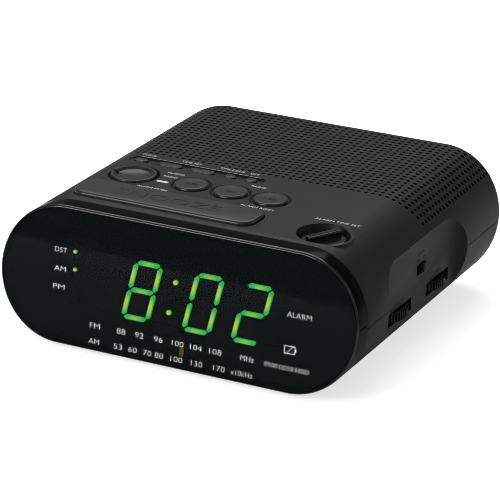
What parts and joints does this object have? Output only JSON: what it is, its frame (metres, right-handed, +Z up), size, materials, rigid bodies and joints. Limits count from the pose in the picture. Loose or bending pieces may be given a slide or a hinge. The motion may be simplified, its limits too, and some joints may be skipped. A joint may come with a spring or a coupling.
{
  "type": "clock radio",
  "caption": "Bedside clock radio with a leaning smoked LED display front, top snooze bar and keys, side thumbwheels, band switch and rounded cabinet.",
  "frame": {"origin": "centre of the footprint box, on the surface that the feet stand on", "axes": "+Z up, the display faces -Y, +X to the right of someone facing the display, so the thumbwheels are on the +X side"},
  "size_m": [0.152, 0.15, 0.057],
  "materials": {
    "matte_case": "satin charcoal, fine texture",
    "matte_key": "satin black",
    "glossy_knob": "gloss black",
    "smoked_lens": "polished smoked acrylic",
    "inner_plastic": "matt black",
    "display_face": "matt dark face with green LED segments",
    "pointer_amber": "amber",
    "board_laminate": "tan laminate",
    "steel": "plain steel",
    "copper_wire": "enamelled copper wire",
    "ferrite": "dark ferrite",
    "speaker_cone_paper": "black paper cone",
    "rubber": "black rubber"
  },
  "bodies": {
    "radio_body": {"upper_cabinet": "matte_case", "lower_cabinet": "matte_case", "front_lens": "smoked_lens", "front_chassis": "inner_plastic", "display_module": "display_face", "display_board": "board_laminate", "key_board": "board_laminate", "main_board": "board_laminate", "snooze_bar_switch": "inner_plastic", "alarm_mode_dial_switch": "inner_plastic", "alarm_time_knob_switch": "inner_plastic", "radio_off_button_switch": "inner_plastic", "radio_on_button_switch": "inner_plastic", "sleep_button_switch": "inner_plastic", "clock_key_switch": "inner_plastic", "time_back_key_switch": "inner_plastic", "time_forward_key_switch": "inner_plastic", "zone_key_switch": "inner_plastic", "summer_time_key_switch": "inner_plastic", "volume_control": "inner_plastic", "tuning_capacitor": "inner_plastic", "band_switch": "steel", "speaker_basket": "steel", "transformer_core": "steel", "backup_cell": "steel", "board_screw_left": "steel", "board_screw_right": "steel", "speaker_screw_left": "steel", "speaker_screw_right": "steel", "case_screw_front_left": "steel", "case_screw_front_right": "steel", "case_screw_rear_left": "steel", "case_screw_rear_right": "steel", "transformer_winding": "copper_wire", "aerial_coil": "copper_wire", "aerial_rod": "ferrite", "speaker_magnet": "ferrite", "speaker_cone": "speaker_cone_paper", "foot_front_left": "rubber", "foot_front_right": "rubber", "foot_rear_left": "rubber", "foot_rear_right": "rubber", "cord_inlet": "rubber"},
    "snooze_bar": {"snooze_bar": "matte_key"},
    "alarm_mode_dial": {"alarm_mode_dial": "matte_key"},
    "alarm_time_knob": {"alarm_time_knob": "glossy_knob"},
    "volume_wheel": {"volume_wheel": "inner_plastic"},
    "tuning_wheel": {"tuning_wheel": "inner_plastic"},
    "dial_pointer": {"dial_pointer": "pointer_amber"},
    "band_slider": {"band_slider": "matte_key"},
    "battery_lid": {"battery_lid": "matte_case"},
    "radio_off_button": {"radio_off_button": "matte_key"},
    "radio_on_button": {"radio_on_button": "matte_key"},
    "sleep_button": {"sleep_button": "matte_key"},
    "clock_key": {"clock_key": "matte_key"},
    "time_back_key": {"time_back_key": "matte_key"},
    "time_forward_key": {"time_forward_key": "matte_key"},
    "zone_key": {"zone_key": "matte_key"},
    "summer_time_key": {"summer_time_key": "matte_key"}
  },
  "joints": [
    {"name": "snooze_press", "type": "slide", "parent": "radio_body", "child": "snooze_bar", "axis": [0, 0, -1], "range_m": [0, 0.0008], "stiffness_N_per_m": 500},
    {"name": "radio_off_button_press", "type": "slide", "parent": "radio_body", "child": "radio_off_button", "axis": [0, 0, -1], "range_m": [0, 0.0008], "stiffness_N_per_m": 300},
    {"name": "radio_on_button_press", "type": "slide", "parent": "radio_body", "child": "radio_on_button", "axis": [0, 0, -1], "range_m": [0, 0.0008], "stiffness_N_per_m": 300},
    {"name": "sleep_button_press", "type": "slide", "parent": "radio_body", "child": "sleep_button", "axis": [0, 0, -1], "range_m": [0, 0.0008], "stiffness_N_per_m": 300},
    {"name": "clock_key_press", "type": "slide", "parent": "radio_body", "child": "clock_key", "axis": [0, 0, -1], "range_m": [0, 0.0008], "stiffness_N_per_m": 300},
    {"name": "time_back_key_press", "type": "slide", "parent": "radio_body", "child": "time_back_key", "axis": [0, 0, -1], "range_m": [0, 0.0008], "stiffness_N_per_m": 300},
    {"name": "time_forward_key_press", "type": "slide", "parent": "radio_body", "child": "time_forward_key", "axis": [0, 0, -1], "range_m": [0, 0.0008], "stiffness_N_per_m": 300},
    {"name": "zone_key_press", "type": "slide", "parent": "radio_body", "child": "zone_key", "axis": [0, 0, -1], "range_m": [0, 0.0008], "stiffness_N_per_m": 300},
    {"name": "summer_time_key_press", "type": "slide", "parent": "radio_body", "child": "summer_time_key", "axis": [0, 0, -1], "range_m": [0, 0.0008], "stiffness_N_per_m": 300},
    {"name": "alarm_mode_turn", "type": "hinge", "parent": "radio_body", "child": "alarm_mode_dial", "pos_m": [-0.044, -0.0223, 0.0555], "axis": [0, 0, -1], "range_deg": [-45, 45]},
    {"name": "alarm_time_turn", "type": "hinge", "parent": "radio_body", "child": "alarm_time_knob", "pos_m": [0.0492, -0.0447, 0.0555], "axis": [0, 0, -1], "range_deg": [-30, 30], "stiffness_Nm_per_rad": 0.01},
    {"name": "volume_turn", "type": "hinge", "parent": "radio_body", "child": "volume_wheel", "pos_m": [0.0595, -0.0221, 0.01965], "axis": [0, 0, 1], "range_deg": [-135, 135]},
    {"name": "tuning_turn", "type": "hinge", "parent": "radio_body", "child": "tuning_wheel", "pos_m": [0.0595, 0.01415, 0.01965], "axis": [0, 0, 1], "range_deg": [-90, 90]},
    {"name": "pointer_travel", "type": "slide", "parent": "radio_body", "child": "dial_pointer", "axis": [1, 0, 0], "range_m": [-0.027, 0.027]},
    {"name": "band_slide", "type": "slide", "parent": "radio_body", "child": "band_slider", "axis": [0, -1, 0], "range_m": [0, 0.0042]},
    {"name": "battery_lid_slide", "type": "slide", "parent": "radio_body", "child": "battery_lid", "axis": [0, 1, 0], "range_m": [0, 0.011]}
  ],
  "couplings": [
    {"joint": "pointer_travel", "follows": "tuning_turn", "m_per_rad": 0.01718}
  ]
}
